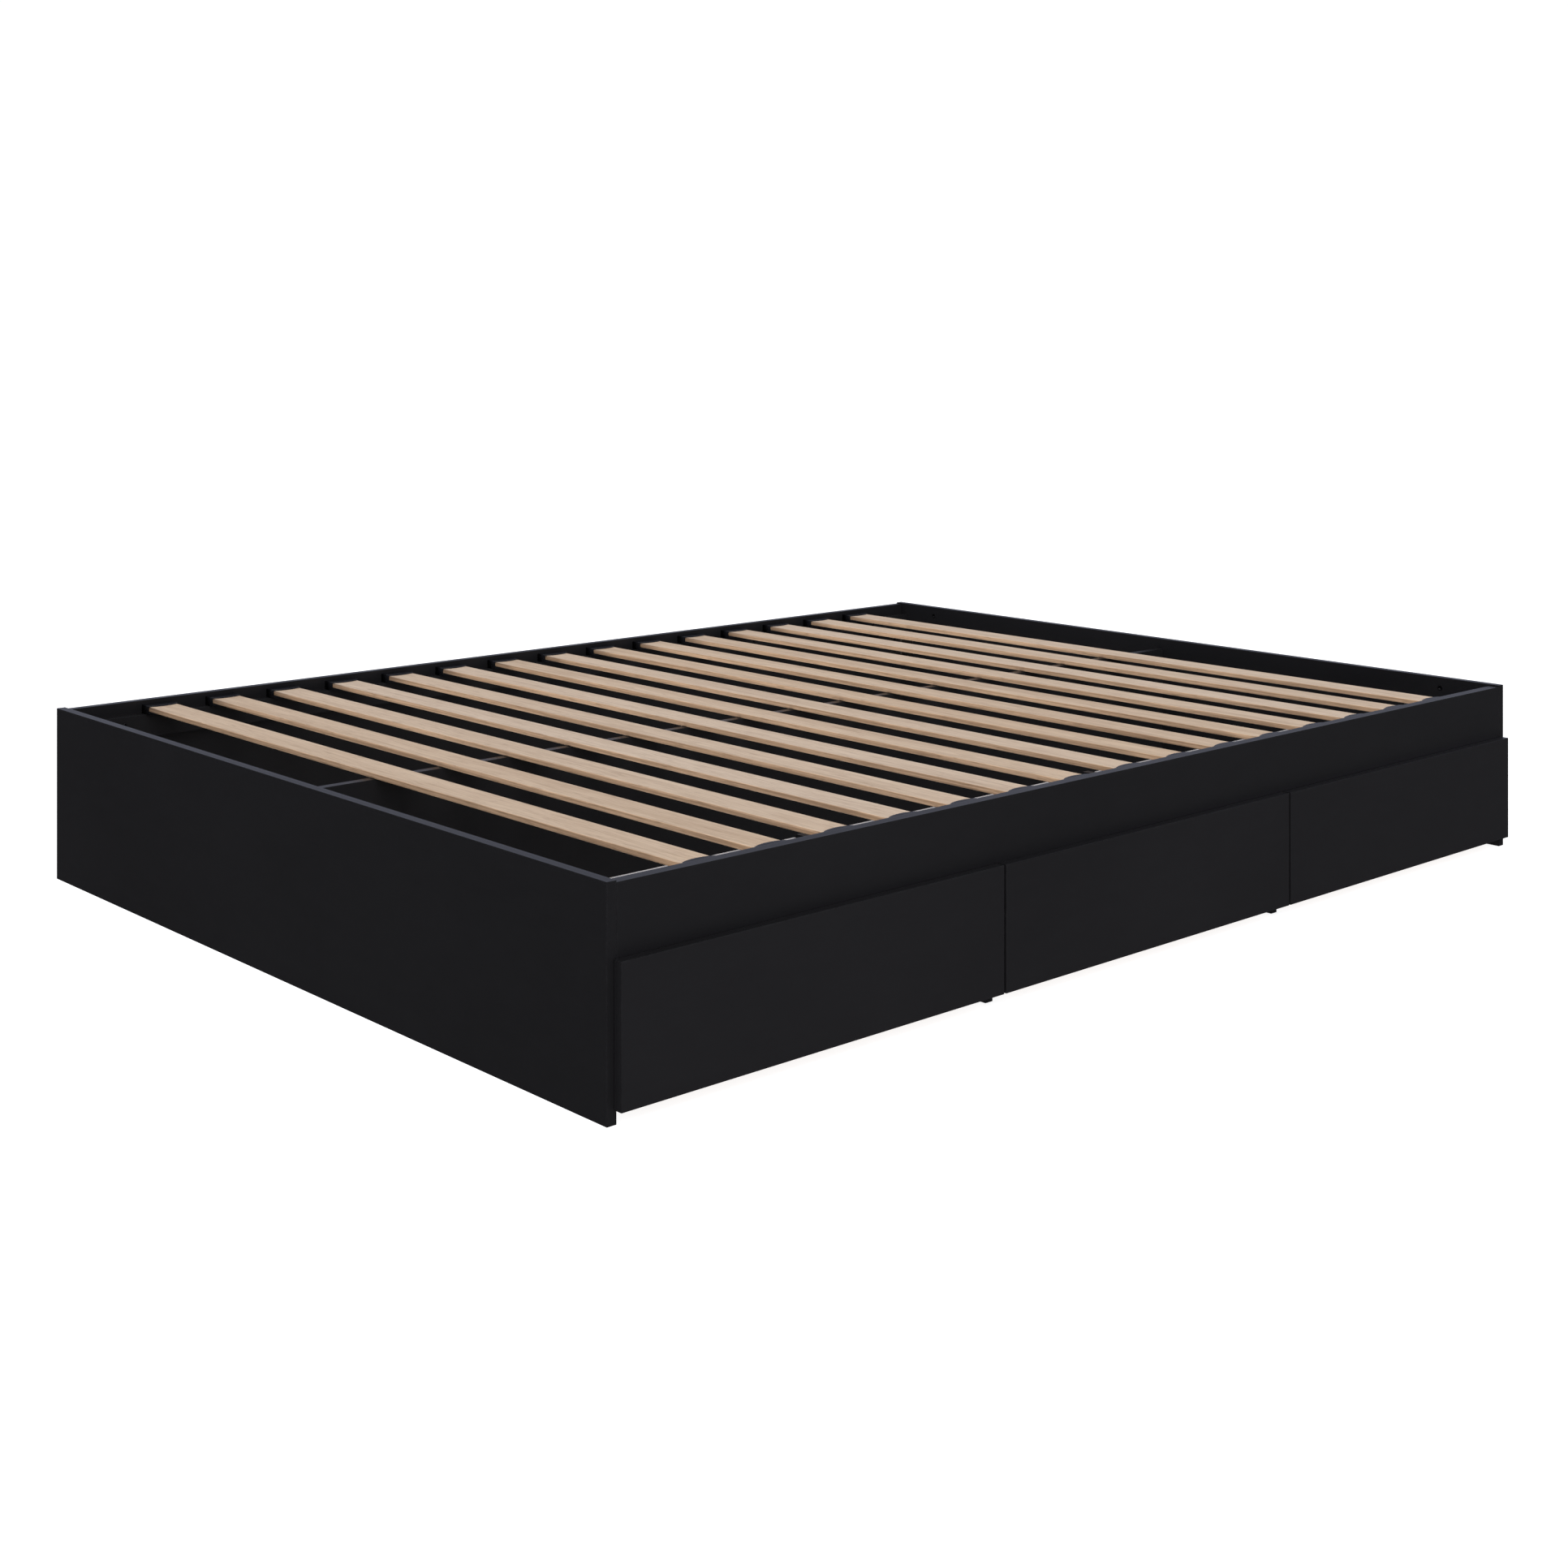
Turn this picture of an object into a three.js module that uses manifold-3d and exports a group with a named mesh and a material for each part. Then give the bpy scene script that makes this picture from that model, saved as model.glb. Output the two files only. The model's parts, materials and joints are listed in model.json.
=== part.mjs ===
// Platform bed with three storage drawers under one long side and a sprung slat base.
// Millimetres, +Z up. The origin is on the floor, under the middle of the outer box.
// +X runs from the foot panel to the head panel, and the drawers open towards -Y.

import * as THREE from 'three';
import Module from 'manifold-3d';
import { mergeVertices } from 'three/addons/utils/BufferGeometryUtils.js';

const wasm = await Module();
wasm.setup();

// ---- driving dimensions ----------------------------------------------------

const LENGTH = 2080; // outside of foot panel to outside of head panel
const FRAME_WIDTH = 1562; // outside of drawer-side rail to outside of side panel
const END_HEIGHT = 296; // foot and head panels
const SIDE_HEIGHT = 293.5; // top of front rail and side panel
const BOARD = 15; // every structural board but the front rail
const RAIL_BOARD = 18;
const FLOOR_CLEARANCE = 19; // under drawer fronts and side panel

const FRONT_THICKNESS = 15; // drawer fronts
const FRONT_AIR = 1; // behind a closed drawer front
const FRONT_HEIGHT = 182.5;
const FRONT_LENGTH = 684;
const FRONT_GAP = 4; // between neighbouring fronts
const DRAWERS = 3;

const DRAWER_SIDE = 12; // drawer side and back boards
const DRAWER_BASE = 4; // drawer bottom board
const DRAWER_LOW = 27.5;
const DRAWER_TOP = 168;
const DRAWER_DEPTH = 408.5; // rear of front to rear of drawer back
const SLIDE_SPACE = 10; // between drawer side and cabinet, each side
const BASE_LOW = 34; // underside of drawer bottom board
const GROOVE = 6; // depth of the groove that holds the bottom board
const CLEARANCE = 0.3; // round a piece that sits in a cut
const OVERSHOOT = 1; // how far a cutting tool passes the face that it opens
const ARC_STEPS = 4; // facets in a quarter turn or a curve
const WELD = 1e-4; // vertices closer than this are one vertex

const RAIL_LOW = 172; // underside of front rail, just above the drawers
const CARCASS_DEPTH = 399; // of the dividers
const DIVIDER_TOP = 170;
const DIVIDER_EAR = 60; // the upright part of a divider that is screwed to the rail
const TIE_HEIGHT = 90; // board that ties the dividers together behind the drawers
const BEAM_TOP = 275.4;

const LEDGER_TOP = 270.5;
const LEDGER_HEIGHT = 40;
const SLATS = 15;
const SLAT_PITCH = 123;
const SLAT_WIDTH = 53;
const SLAT_TOP = 284.4;
const SLAT_THICKNESS = 8.5;
const SLAT_EDGE_RADIUS = 1.5;
const SLAT_END_SPACE = 4; // between a slat's end and the rail

const HOLDER_WIDTH = 58;
const HOLDER_TOP = 286.4;
const HOLDER_SIDE_REACH = 19.5; // where the cap's straight sides end
const HOLDER_SHOULDER = 27.5; // where its rounded corners meet its front curve
const HOLDER_REACH = 31; // the middle of its front curve
const HOLDER_CORNER = 8;
const HOLDER_POCKET_WIDTH = 54;
const HOLDER_POCKET_LOW = 275.6;
const HOLDER_POCKET_TOP = 284.8;
const HOLDER_AIR = 1; // behind a slat's end, in the pocket
const STRIP_DEPTH = 12; // web that joins the caps on one side
const STRIP_THICKNESS = 2;

const SLIDE_HEIGHT = 27;
const SLIDE_SHEET = 1.2; // rolled steel
const SLIDE_LENGTH = 380;
const SLIDE_CENTRE = 75; // height of the slides' centreline
const SLIDE_SETBACK = 2; // of each member behind the divider or front that it starts at
const MEMBER_INSET = 3.3; // how much lower each flange of the drawer member is
const MEMBER_AIR = 2.2; // from drawer member's flange to the cabinet
const CABINET_AIR = 0.8; // from cabinet member's flange to the drawer side

const BRACKET_LEG = 40;
const BRACKET_SHEET = 2.5;
const BRACKET_LOW = 176;
const BRACKET_HEIGHT = 50;
const BRACKET_HOLE = 3;
const BRACKET_HOLE_OUT = 26; // from the corner to the holes
const BRACKET_HOLE_PARTS = [0.25, 0.75]; // the holes' places up the bracket

const INSERT_HEIGHT = 275.5; // headboard fixings in the head panel
const INSERT_INSET = 121.5; // from the long sides
const INSERT_RADIUS = 5;
const INSERT_BORE = 3.2;

// ---- planes that the dimensions fix ----------------------------------------

const FOOT = -LENGTH / 2;
const HEAD = LENGTH / 2;
const FOOT_IN = FOOT + BOARD;
const HEAD_IN = HEAD - BOARD;
const RAIL = -(FRAME_WIDTH - FRONT_THICKNESS - FRONT_AIR) / 2;
const RAIL_IN = RAIL + RAIL_BOARD;
const CARCASS_FRONT = RAIL + BOARD;
const SIDE = RAIL + FRAME_WIDTH;
const SIDE_IN = SIDE - BOARD;
const BEAM = (RAIL + SIDE - BOARD) / 2;
const FRONT_BACK = RAIL - FRONT_AIR;
const CARCASS_BACK = CARCASS_FRONT + CARCASS_DEPTH;
const FRONTS_START = -(DRAWERS * FRONT_LENGTH + (DRAWERS - 1) * FRONT_GAP) / 2;
const BAY_PITCH = FRONT_LENGTH + FRONT_GAP;

const dividerFace = (index) => FRONTS_START + index * BAY_PITCH - (FRONT_GAP + BOARD) / 2;

// ---- materials ---------------------------------------------------------------

function finish(color, roughness, metalness = 0) {
  return new THREE.MeshStandardMaterial({ color, roughness, metalness });
}

const blackBoard = finish(0x1d1d1f, 0.5);
const blackFront = finish(0x202022, 0.48);
const whiteBoard = finish(0xd9d9db, 0.55);
const beech = finish(0xc0ab97, 0.6);
const blackPlastic = finish(0x3f4048, 0.42);
const zincSteel = finish(0xa6a8ab, 0.35, 0.9);
const darkSteel = finish(0x4a443f, 0.45, 0.8);

// ---- geometry helpers ----------------------------------------------------------

const X = new THREE.Vector3(1, 0, 0);
const Y = new THREE.Vector3(0, 1, 0);
const Z = new THREE.Vector3(0, 0, 1);

function block([x0, x1], [y0, y1], [z0, z1]) {
  const geometry = new THREE.BoxGeometry(x1 - x0, y1 - y0, z1 - z0);
  return geometry.translate((x0 + x1) / 2, (y0 + y1) / 2, (z0 + z1) / 2);
}

// Extrudes an outline drawn on the `across` and `up` axes, from `start` along their cross product.
function extruded(outline, depth, across, up, start) {
  const settings = { depth, bevelEnabled: false, curveSegments: ARC_STEPS };
  const geometry = new THREE.ExtrudeGeometry(outline, settings);
  const along = new THREE.Vector3().crossVectors(across, up);
  const place = new THREE.Matrix4().makeBasis(across, up, along).setPosition(start);
  return geometry.applyMatrix4(place);
}

function outlineOf(points) {
  return new THREE.Shape(points.map(([across, up]) => new THREE.Vector2(across, up)));
}

function solidOf(geometry) {
  const bare = geometry.clone();
  bare.deleteAttribute('normal');
  bare.deleteAttribute('uv');
  const merged = mergeVertices(bare, WELD);
  const vertProperties = new Float32Array(merged.attributes.position.array);
  const triVerts = new Uint32Array(merged.index.array);
  return new wasm.Manifold(new wasm.Mesh({ numProp: 3, vertProperties, triVerts }));
}

function geometryOf(solid) {
  const mesh = solid.getMesh();
  const geometry = new THREE.BufferGeometry();
  geometry.setAttribute('position', new THREE.BufferAttribute(mesh.vertProperties, mesh.numProp));
  geometry.setIndex(new THREE.BufferAttribute(mesh.triVerts, 1));
  geometry.computeVertexNormals();
  return geometry;
}

function cut(geometry, tools) {
  return geometryOf(tools.reduce((solid, tool) => solid.subtract(solidOf(tool)), solidOf(geometry)));
}

function joined(geometries) {
  return geometryOf(geometries.map(solidOf).reduce((solid, next) => solid.add(next)));
}

// A cylinder along +X or along +Y, between two planes.
function rod(radius, axis, from, to, centre) {
  const geometry = new THREE.CylinderGeometry(radius, radius, to - from, 4 * ARC_STEPS);
  const middle = (from + to) / 2;
  if (axis === X) {
    return geometry.rotateZ(Math.PI / 2).translate(middle, centre.y, centre.z);
  }
  return geometry.translate(centre.x, middle, centre.z);
}

const bed = new THREE.Group();

function add(name, geometry, material, group = bed) {
  const mesh = new THREE.Mesh(geometry, material);
  mesh.name = name;
  group.add(mesh);
}

// ---- frame -----------------------------------------------------------------------

const insertPlaces = [RAIL + INSERT_INSET, SIDE - INSERT_INSET];

function headPanel() {
  const panel = block([HEAD_IN, HEAD], [RAIL, SIDE], [0, END_HEIGHT]);
  const radius = INSERT_RADIUS + CLEARANCE;
  const ends = [HEAD_IN - OVERSHOOT, HEAD + OVERSHOOT];
  const holes = insertPlaces.map((y) => rod(radius, X, ...ends, { y, z: INSERT_HEIGHT }));
  return cut(panel, holes);
}

// A threaded sleeve through the head panel, flush with both its faces.
function headboardInsert(y) {
  const profile = [
    [INSERT_BORE, 0],
    [INSERT_RADIUS, 0],
    [INSERT_RADIUS, BOARD],
    [INSERT_BORE, BOARD],
    [INSERT_BORE, 0],
  ];
  const geometry = new THREE.LatheGeometry(profile.map(([r, h]) => new THREE.Vector2(r, h)), 4 * ARC_STEPS);
  return geometry.rotateZ(Math.PI / 2).translate(HEAD, y, INSERT_HEIGHT);
}

// An L-shaped board: a low part beside the drawers and an ear that is screwed to the rail.
function divider(x) {
  const outline = outlineOf([
    [CARCASS_FRONT, 0],
    [CARCASS_BACK, 0],
    [CARCASS_BACK, DIVIDER_TOP],
    [RAIL_IN + DIVIDER_EAR, DIVIDER_TOP],
    [RAIL_IN + DIVIDER_EAR, LEDGER_TOP - LEDGER_HEIGHT],
    [RAIL_IN, LEDGER_TOP - LEDGER_HEIGHT],
    [RAIL_IN, DIVIDER_TOP],
    [CARCASS_FRONT, DIVIDER_TOP],
  ]);
  return extruded(outline, BOARD, Y, Z, new THREE.Vector3(x, 0, 0));
}

// An angle in the corner at (x, y), with its legs along +-X and +-Y.
function cornerBracket(x, y, towardsX, towardsY) {
  const span = (from, towards, size) => (towards > 0 ? [from, from + size] : [from - size, from]);
  const height = [BRACKET_LOW, BRACKET_LOW + BRACKET_HEIGHT];
  const legX = block(span(x, towardsX, BRACKET_LEG), span(y, towardsY, BRACKET_SHEET), height);
  const legY = block(span(x, towardsX, BRACKET_SHEET), span(y, towardsY, BRACKET_LEG), height);
  const around = (middle) => [middle - 2 * BRACKET_SHEET, middle + 2 * BRACKET_SHEET];
  const holes = BRACKET_HOLE_PARTS.flatMap((part) => {
    const z = BRACKET_LOW + BRACKET_HEIGHT * part;
    const [farX, farY] = [x + towardsX * BRACKET_HOLE_OUT, y + towardsY * BRACKET_HOLE_OUT];
    return [
      rod(BRACKET_HOLE, Y, ...around(y), { x: farX, z }),
      rod(BRACKET_HOLE, X, ...around(x), { y: farY, z }),
    ];
  });
  return cut(joined([legX, legY]), holes);
}

const inside = [FOOT_IN, HEAD_IN];
const ledgerHeight = [LEDGER_TOP - LEDGER_HEIGHT, LEDGER_TOP];

add('foot_panel', block([FOOT, FOOT_IN], [RAIL, SIDE], [0, END_HEIGHT]), blackBoard);
add('head_panel', headPanel(), blackBoard);
add('front_rail', block(inside, [RAIL, RAIL_IN], [RAIL_LOW, SIDE_HEIGHT]), blackBoard);
add('side_panel', block(inside, [SIDE_IN, SIDE], [FLOOR_CLEARANCE, SIDE_HEIGHT]), blackBoard);
add('centre_beam', block(inside, [BEAM, BEAM + BOARD], [0, BEAM_TOP]), blackBoard);
add('ledger_front', block(inside, [RAIL_IN, RAIL_IN + BOARD], ledgerHeight), blackBoard);
add('ledger_back', block(inside, [SIDE_IN - BOARD, SIDE_IN], ledgerHeight), blackBoard);
add('rear_tie', block(inside, [CARCASS_BACK, CARCASS_BACK + BOARD], [0, TIE_HEIGHT]), blackBoard);
for (let index = 1; index < DRAWERS; index += 1) {
  add(`divider_${index}`, divider(dividerFace(index)), blackBoard);
}
insertPlaces.forEach((y, index) => {
  add(`headboard_insert_${index + 1}`, headboardInsert(y), darkSteel);
});
add('bracket_foot_front', cornerBracket(FOOT_IN, RAIL_IN, 1, 1), darkSteel);
add('bracket_foot_back', cornerBracket(FOOT_IN, SIDE_IN, 1, -1), darkSteel);
add('bracket_head_front', cornerBracket(HEAD_IN, RAIL_IN, -1, 1), darkSteel);
add('bracket_head_back', cornerBracket(HEAD_IN, SIDE_IN, -1, -1), darkSteel);

// ---- slat base ---------------------------------------------------------------------

const slatX = (index) => (index - (SLATS - 1) / 2) * SLAT_PITCH;

// A one-piece slat with rounded long edges, across the whole bed.
function slat(x) {
  const radius = SLAT_EDGE_RADIUS;
  const [left, right] = [x - SLAT_WIDTH / 2, x + SLAT_WIDTH / 2];
  const [low, top] = [SLAT_TOP - SLAT_THICKNESS, SLAT_TOP];
  const outline = new THREE.Shape();
  outline.moveTo(left + radius, low);
  outline.lineTo(right - radius, low);
  outline.absarc(right - radius, low + radius, radius, -Math.PI / 2, 0);
  outline.absarc(right - radius, top - radius, radius, 0, Math.PI / 2);
  outline.lineTo(left + radius, top);
  outline.absarc(left + radius, top - radius, radius, Math.PI / 2, Math.PI);
  outline.absarc(left + radius, low + radius, radius, Math.PI, Math.PI * 1.5);
  const length = SIDE_IN - RAIL_IN - 2 * SLAT_END_SPACE;
  return extruded(outline, length, X, Z, new THREE.Vector3(0, SIDE_IN - SLAT_END_SPACE, 0));
}

// One slat-end cap: a block with a curved inner edge and a pocket that the slat slides into.
// It is drawn for the drawer side, where `wall` is the rail's inner face and `inward` is +1.
function slatCap(x, wall, inward) {
  const half = HOLDER_WIDTH / 2;
  const edge = half - HOLDER_CORNER;
  const bulge = HOLDER_REACH - HOLDER_SHOULDER;
  const tangent = HOLDER_SHOULDER - (2 * bulge * HOLDER_CORNER) / edge;
  const outline = new THREE.Shape();
  outline.moveTo(-half, 0);
  outline.lineTo(half, 0);
  outline.lineTo(half, HOLDER_SIDE_REACH);
  outline.quadraticCurveTo(half, tangent, edge, HOLDER_SHOULDER);
  outline.quadraticCurveTo(0, HOLDER_SHOULDER + 2 * bulge, -edge, HOLDER_SHOULDER);
  outline.quadraticCurveTo(-half, tangent, -half, HOLDER_SIDE_REACH);
  const across = X.clone().multiplyScalar(inward);
  const up = Y.clone().multiplyScalar(inward);
  const start = new THREE.Vector3(x, wall, LEDGER_TOP);
  const body = extruded(outline, HOLDER_TOP - LEDGER_TOP, across, up, start);
  const mouth = wall + inward * (HOLDER_REACH + OVERSHOOT);
  const pocketBack = wall + inward * (SLAT_END_SPACE - HOLDER_AIR);
  const pocket = block(
    [x - HOLDER_POCKET_WIDTH / 2, x + HOLDER_POCKET_WIDTH / 2],
    [mouth, pocketBack].sort((a, b) => a - b),
    [HOLDER_POCKET_LOW, HOLDER_POCKET_TOP],
  );
  return cut(body, [pocket]);
}

// All the caps of one side, on the thin web that carries them along the ledger.
function slatHolders(wall, inward) {
  const caps = Array.from({ length: SLATS }, (_, index) => slatCap(slatX(index), wall, inward));
  const ends = [wall, wall + inward * STRIP_DEPTH].sort((a, b) => a - b);
  const strip = block([slatX(0), slatX(SLATS - 1)], ends, [LEDGER_TOP, LEDGER_TOP + STRIP_THICKNESS]);
  return joined([strip, ...caps]);
}

for (let index = 0; index < SLATS; index += 1) {
  add(`slat_${String(index + 1).padStart(2, '0')}`, slat(slatX(index)), beech);
}
add('slat_holders_front', slatHolders(RAIL_IN, 1), blackPlastic);
add('slat_holders_back', slatHolders(SIDE_IN, -1), blackPlastic);

// ---- drawers -------------------------------------------------------------------------

// The groove round the drawer bottom, as the box that the bottom board and its clearance fill.
function grooveBox([x0, x1], depthRange) {
  return block(
    [x0 - GROOVE, x1 + GROOVE],
    depthRange,
    [BASE_LOW - CLEARANCE, BASE_LOW + DRAWER_BASE + CLEARANCE],
  );
}

// One channel of a drawer slide, lying along Y, with its web at `web` and its flanges towards `open`.
function channel(web, open, reach, halfHeight, start, length) {
  const inner = halfHeight - SLIDE_SHEET;
  const outline = outlineOf([
    [0, -halfHeight],
    [reach, -halfHeight],
    [reach, -inner],
    [SLIDE_SHEET, -inner],
    [SLIDE_SHEET, inner],
    [reach, inner],
    [reach, halfHeight],
    [0, halfHeight],
  ]);
  const across = X.clone().multiplyScalar(open);
  const from = open > 0 ? start + length : start;
  return extruded(outline, length, across, Z, new THREE.Vector3(web, from, SLIDE_CENTRE));
}

function addDrawer(index) {
  const name = `drawer_${index + 1}`;
  const frontX = FRONTS_START + index * BAY_PITCH;
  const bay = [
    index === 0 ? FOOT_IN : dividerFace(index) + BOARD,
    index === DRAWERS - 1 ? HEAD_IN : dividerFace(index + 1),
  ];
  const outer = [bay[0] + SLIDE_SPACE, bay[1] - SLIDE_SPACE];
  const inner = [outer[0] + DRAWER_SIDE, outer[1] - DRAWER_SIDE];
  const rear = FRONT_BACK + DRAWER_DEPTH;
  const backFace = rear - DRAWER_SIDE;
  const groove = grooveBox(inner, [FRONT_BACK - GROOVE, rear + OVERSHOOT]);
  const height = [DRAWER_LOW, DRAWER_TOP];
  const frontHeight = [FLOOR_CLEARANCE, FLOOR_CLEARANCE + FRONT_HEIGHT];
  const group = new THREE.Group();

  const frontDepth = [FRONT_BACK - FRONT_THICKNESS, FRONT_BACK];
  const front = block([frontX, frontX + FRONT_LENGTH], frontDepth, frontHeight);
  add(`${name}_front`, cut(front, [groove]), blackFront, group);
  const left = block([outer[0], inner[0]], [FRONT_BACK, backFace], height);
  add(`${name}_side_left`, cut(left, [groove]), whiteBoard, group);
  const right = block([inner[1], outer[1]], [FRONT_BACK, backFace], height);
  add(`${name}_side_right`, cut(right, [groove]), whiteBoard, group);
  const back = block(outer, [backFace, rear], height);
  add(`${name}_back`, cut(back, [groove]), whiteBoard, group);

  const slack = GROOVE - CLEARANCE;
  const base = block(
    [inner[0] - slack, inner[1] + slack],
    [FRONT_BACK - slack, rear],
    [BASE_LOW, BASE_LOW + DRAWER_BASE],
  );
  add(`${name}_bottom`, base, whiteBoard, group);

  const memberReach = SLIDE_SPACE - MEMBER_AIR;
  const cabinetReach = SLIDE_SPACE - CABINET_AIR;
  const cabinetStart = CARCASS_FRONT + SLIDE_SETBACK;
  const memberStart = FRONT_BACK + SLIDE_SETBACK;
  const half = SLIDE_HEIGHT / 2;
  [['left', bay[0], outer[0], 1], ['right', bay[1], outer[1], -1]].forEach(([hand, wall, side, open]) => {
    const cabinet = channel(wall, open, cabinetReach, half, cabinetStart, SLIDE_LENGTH);
    add(`slide_${index + 1}_${hand}_cabinet`, cabinet, zincSteel);
    const member = channel(side, -open, memberReach, half - MEMBER_INSET, memberStart, SLIDE_LENGTH);
    add(`slide_${index + 1}_${hand}_drawer`, member, zincSteel, group);
  });
  bed.add(group);
}

for (let index = 0; index < DRAWERS; index += 1) {
  addDrawer(index);
}

export default bed;
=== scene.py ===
import json
import math

import bmesh
import bpy
from mathutils import Matrix, Vector

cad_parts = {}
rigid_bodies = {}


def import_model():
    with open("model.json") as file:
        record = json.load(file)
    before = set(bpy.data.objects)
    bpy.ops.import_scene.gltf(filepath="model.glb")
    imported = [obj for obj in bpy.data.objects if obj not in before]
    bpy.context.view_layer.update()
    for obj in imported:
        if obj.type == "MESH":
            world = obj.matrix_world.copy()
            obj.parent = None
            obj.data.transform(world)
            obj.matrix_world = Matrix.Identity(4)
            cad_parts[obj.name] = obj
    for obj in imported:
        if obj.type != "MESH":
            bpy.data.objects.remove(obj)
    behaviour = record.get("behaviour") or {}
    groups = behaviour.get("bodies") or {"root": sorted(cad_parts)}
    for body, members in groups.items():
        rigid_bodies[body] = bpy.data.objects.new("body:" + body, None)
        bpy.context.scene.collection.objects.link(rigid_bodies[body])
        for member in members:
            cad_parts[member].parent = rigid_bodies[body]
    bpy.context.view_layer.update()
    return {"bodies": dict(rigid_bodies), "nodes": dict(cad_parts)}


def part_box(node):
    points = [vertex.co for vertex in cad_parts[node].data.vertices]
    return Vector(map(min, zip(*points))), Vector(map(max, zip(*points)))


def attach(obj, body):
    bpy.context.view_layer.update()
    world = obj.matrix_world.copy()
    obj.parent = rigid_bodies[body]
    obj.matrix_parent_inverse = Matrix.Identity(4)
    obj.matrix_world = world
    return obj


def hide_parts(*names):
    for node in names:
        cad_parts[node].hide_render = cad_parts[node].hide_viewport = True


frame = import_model()

# Looks for a platform bed with drawers: black foil-faced boards with edge bands, pale laminated
# slats in moulded caps, and white drawer boxes on rolled steel slides. Everything is in metres.

MM = 0.001

# ---- sizes that the frame doesn't hold --------------------------------------

ARRIS = 0.4 * MM  # rounding of a banded board edge
RIM = 3 * MM  # width of the strip beside an edge that takes the edge tint: wear, and on black boards a painted highlight
SLAT_RADIUS = 1.5 * MM
SLAT_STATIONS = 16
SLAT_TONES = (0.3, 0.25, 0.55, 1.0, 0.6, 0.85, 0.3, 0.7, 0.0)  # 0 warm, 1 pale and greyish; then again
CAP_WIDTH = 58 * MM
CAP_SIDE_REACH = 19.5 * MM  # where its straight sides end
CAP_SHOULDER = 27.5 * MM  # where its rounded corners meet its front curve
CAP_REACH = 31 * MM
CAP_CORNER = 8 * MM
CAP_RIM = 1.4 * MM
POCKET_CLEARANCE = 0.5 * MM
POCKET_WALL = 3 * MM
SHEET = 1.2 * MM  # slide steel
BEND = 1.0 * MM
GROOVE_AIR = 0.3 * MM
DIVIDER_STEP = 170 * MM  # top of a divider's low part
DIVIDER_EAR = 60 * MM  # of the high part that is screwed to the rail
SCREW_RADIUS = 3.6 * MM
CAM_RADIUS = 7.5 * MM
LEDGER_SCREW_LEAD = 68 * MM  # from the first slat's centre towards the foot
LEDGER_SCREW_STEP = 3  # slat pitches from screw to screw
LEDGER_SCREW_RISE = 6 * MM  # above the ledger's middle
SLEEVE_BORE = 3.2 * MM
SLEEVE_AIR = 0.2 * MM
SLEEVE_CHAMFER = 0.4 * MM
THREAD_PITCH = 1 * MM
THREAD_DEPTH = 0.5 * MM
BRACKET_SHEET = 2.5 * MM
BRACKET_BEND = 4 * MM  # inside radius
BRACKET_TIP = 5 * MM  # rounding at the far ends of its legs
BRACKET_ARRIS = 0.35 * MM
BRACKET_SCREW_PARTS = (0.25, 0.75)  # places up the bracket
BRACKET_SCREW_OUT = 0.65  # place along each leg
CAM_INSET = 34 * MM  # from a board's end, and behind a drawer front
BEAM_CAM_HEIGHTS = (60 * MM, 205 * MM)
SIDE_CAM_HEIGHTS = (75 * MM, 150 * MM)
TIE_CAM_HEIGHTS = (45 * MM,)
DRAWER_CAM_HEIGHTS = (62 * MM, 138 * MM)
DRAWER_ARRIS = 0.6 * MM
BOTTOM_ARRIS = 0.3 * MM
BACK_SCREW_RADIUS = 3.5 * MM
BACK_SCREW_SINK = 0.6 * MM
BUMPER_RADIUS = 4 * MM
BUMPER_HEIGHT = 0.9 * MM
BUMPER_INSET = 40 * MM  # from the front's ends
BUMPER_DROP = 12 * MM  # from the front's top
SLIDE_SCREW_PARTS = (0.09, 0.5, 0.9)  # places along a slide
SLIDE_SCREW_RADIUS = 3.4 * MM
PLY = 1.45 * MM  # thickness of one ply of a slat
POCKET_BELOW = 0.3 * MM  # air under the slat in its cap
POCKET_ABOVE = 0.4 * MM
PAST = 5 * MM  # how far a cutter passes the face that it opens
TINY = 1e-6  # lengths below this are taken as nothing
ARRIS_STEPS = 3
RIM_SHARE = 0.3  # of a thin board's thickness, where RIM would be too wide
ROUND_STEPS = 32  # sides of the larger turned pieces
SMALL_STEPS = 24
BRACKET_BEND_STEPS = 5
CHANNEL_BEND_STEPS = 4
SLAT_CORNER_STEPS = 4

FRAME_BODY = "frame"
PLAIN_BOARDS = (
    "foot_panel",
    "front_rail",
    "side_panel",
    "centre_beam",
    "ledger_front",
    "ledger_back",
    "rear_tie",
)
SLEEVES = ("headboard_insert_1", "headboard_insert_2")
DRAWERS = [name for name in frame["bodies"] if name.startswith("drawer")]
SLATS = sorted(name for name in frame["nodes"] if name.startswith("slat_") and name[5:].isdigit())

# ---- studio -------------------------------------------------------------------

CAMERA_PLACE = (-2.6435, -2.86, 0.9809)
CAMERA_TURN = -42.19  # degrees; 0 looks along +Y, and less than 0 turns to the right
CAMERA_LENS = 50
CAMERA_SENSOR = 36
CAMERA_RISE = -0.3  # lens shift, which keeps the bed's uprights upright
FLOOR_REACH = 30
FLOOR_GREY = 0.5
FLOOR_GLOW = 0.85
BACKDROP = 1.02
SKY_BELOW = (0.02, 0.02, 0.02, 1.0)
SKY_LOW = (0.315, 0.33, 0.415, 1.0)
SKY_TOP = (0.45, 0.455, 0.49, 1.0)
SKY_STEPS = ((0.02, SKY_LOW), (0.45, SKY_LOW))  # the sine of each step's angle above the horizon
KEY = 2.3
KEY_TOWARDS = (0.42, 0.68, -0.66)
KEY_TINT = (1.0, 0.985, 0.965)
OVERHEAD = 0.5
OVERHEAD_TOWARDS = (0.05, 0.1, -1)

# ---- material building --------------------------------------------------------

MIX_COLOUR_INPUTS = (0, 6, 7)  # the factor and the two colours of a Mix node
MIX_COLOUR_OUTPUT = 2


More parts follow.
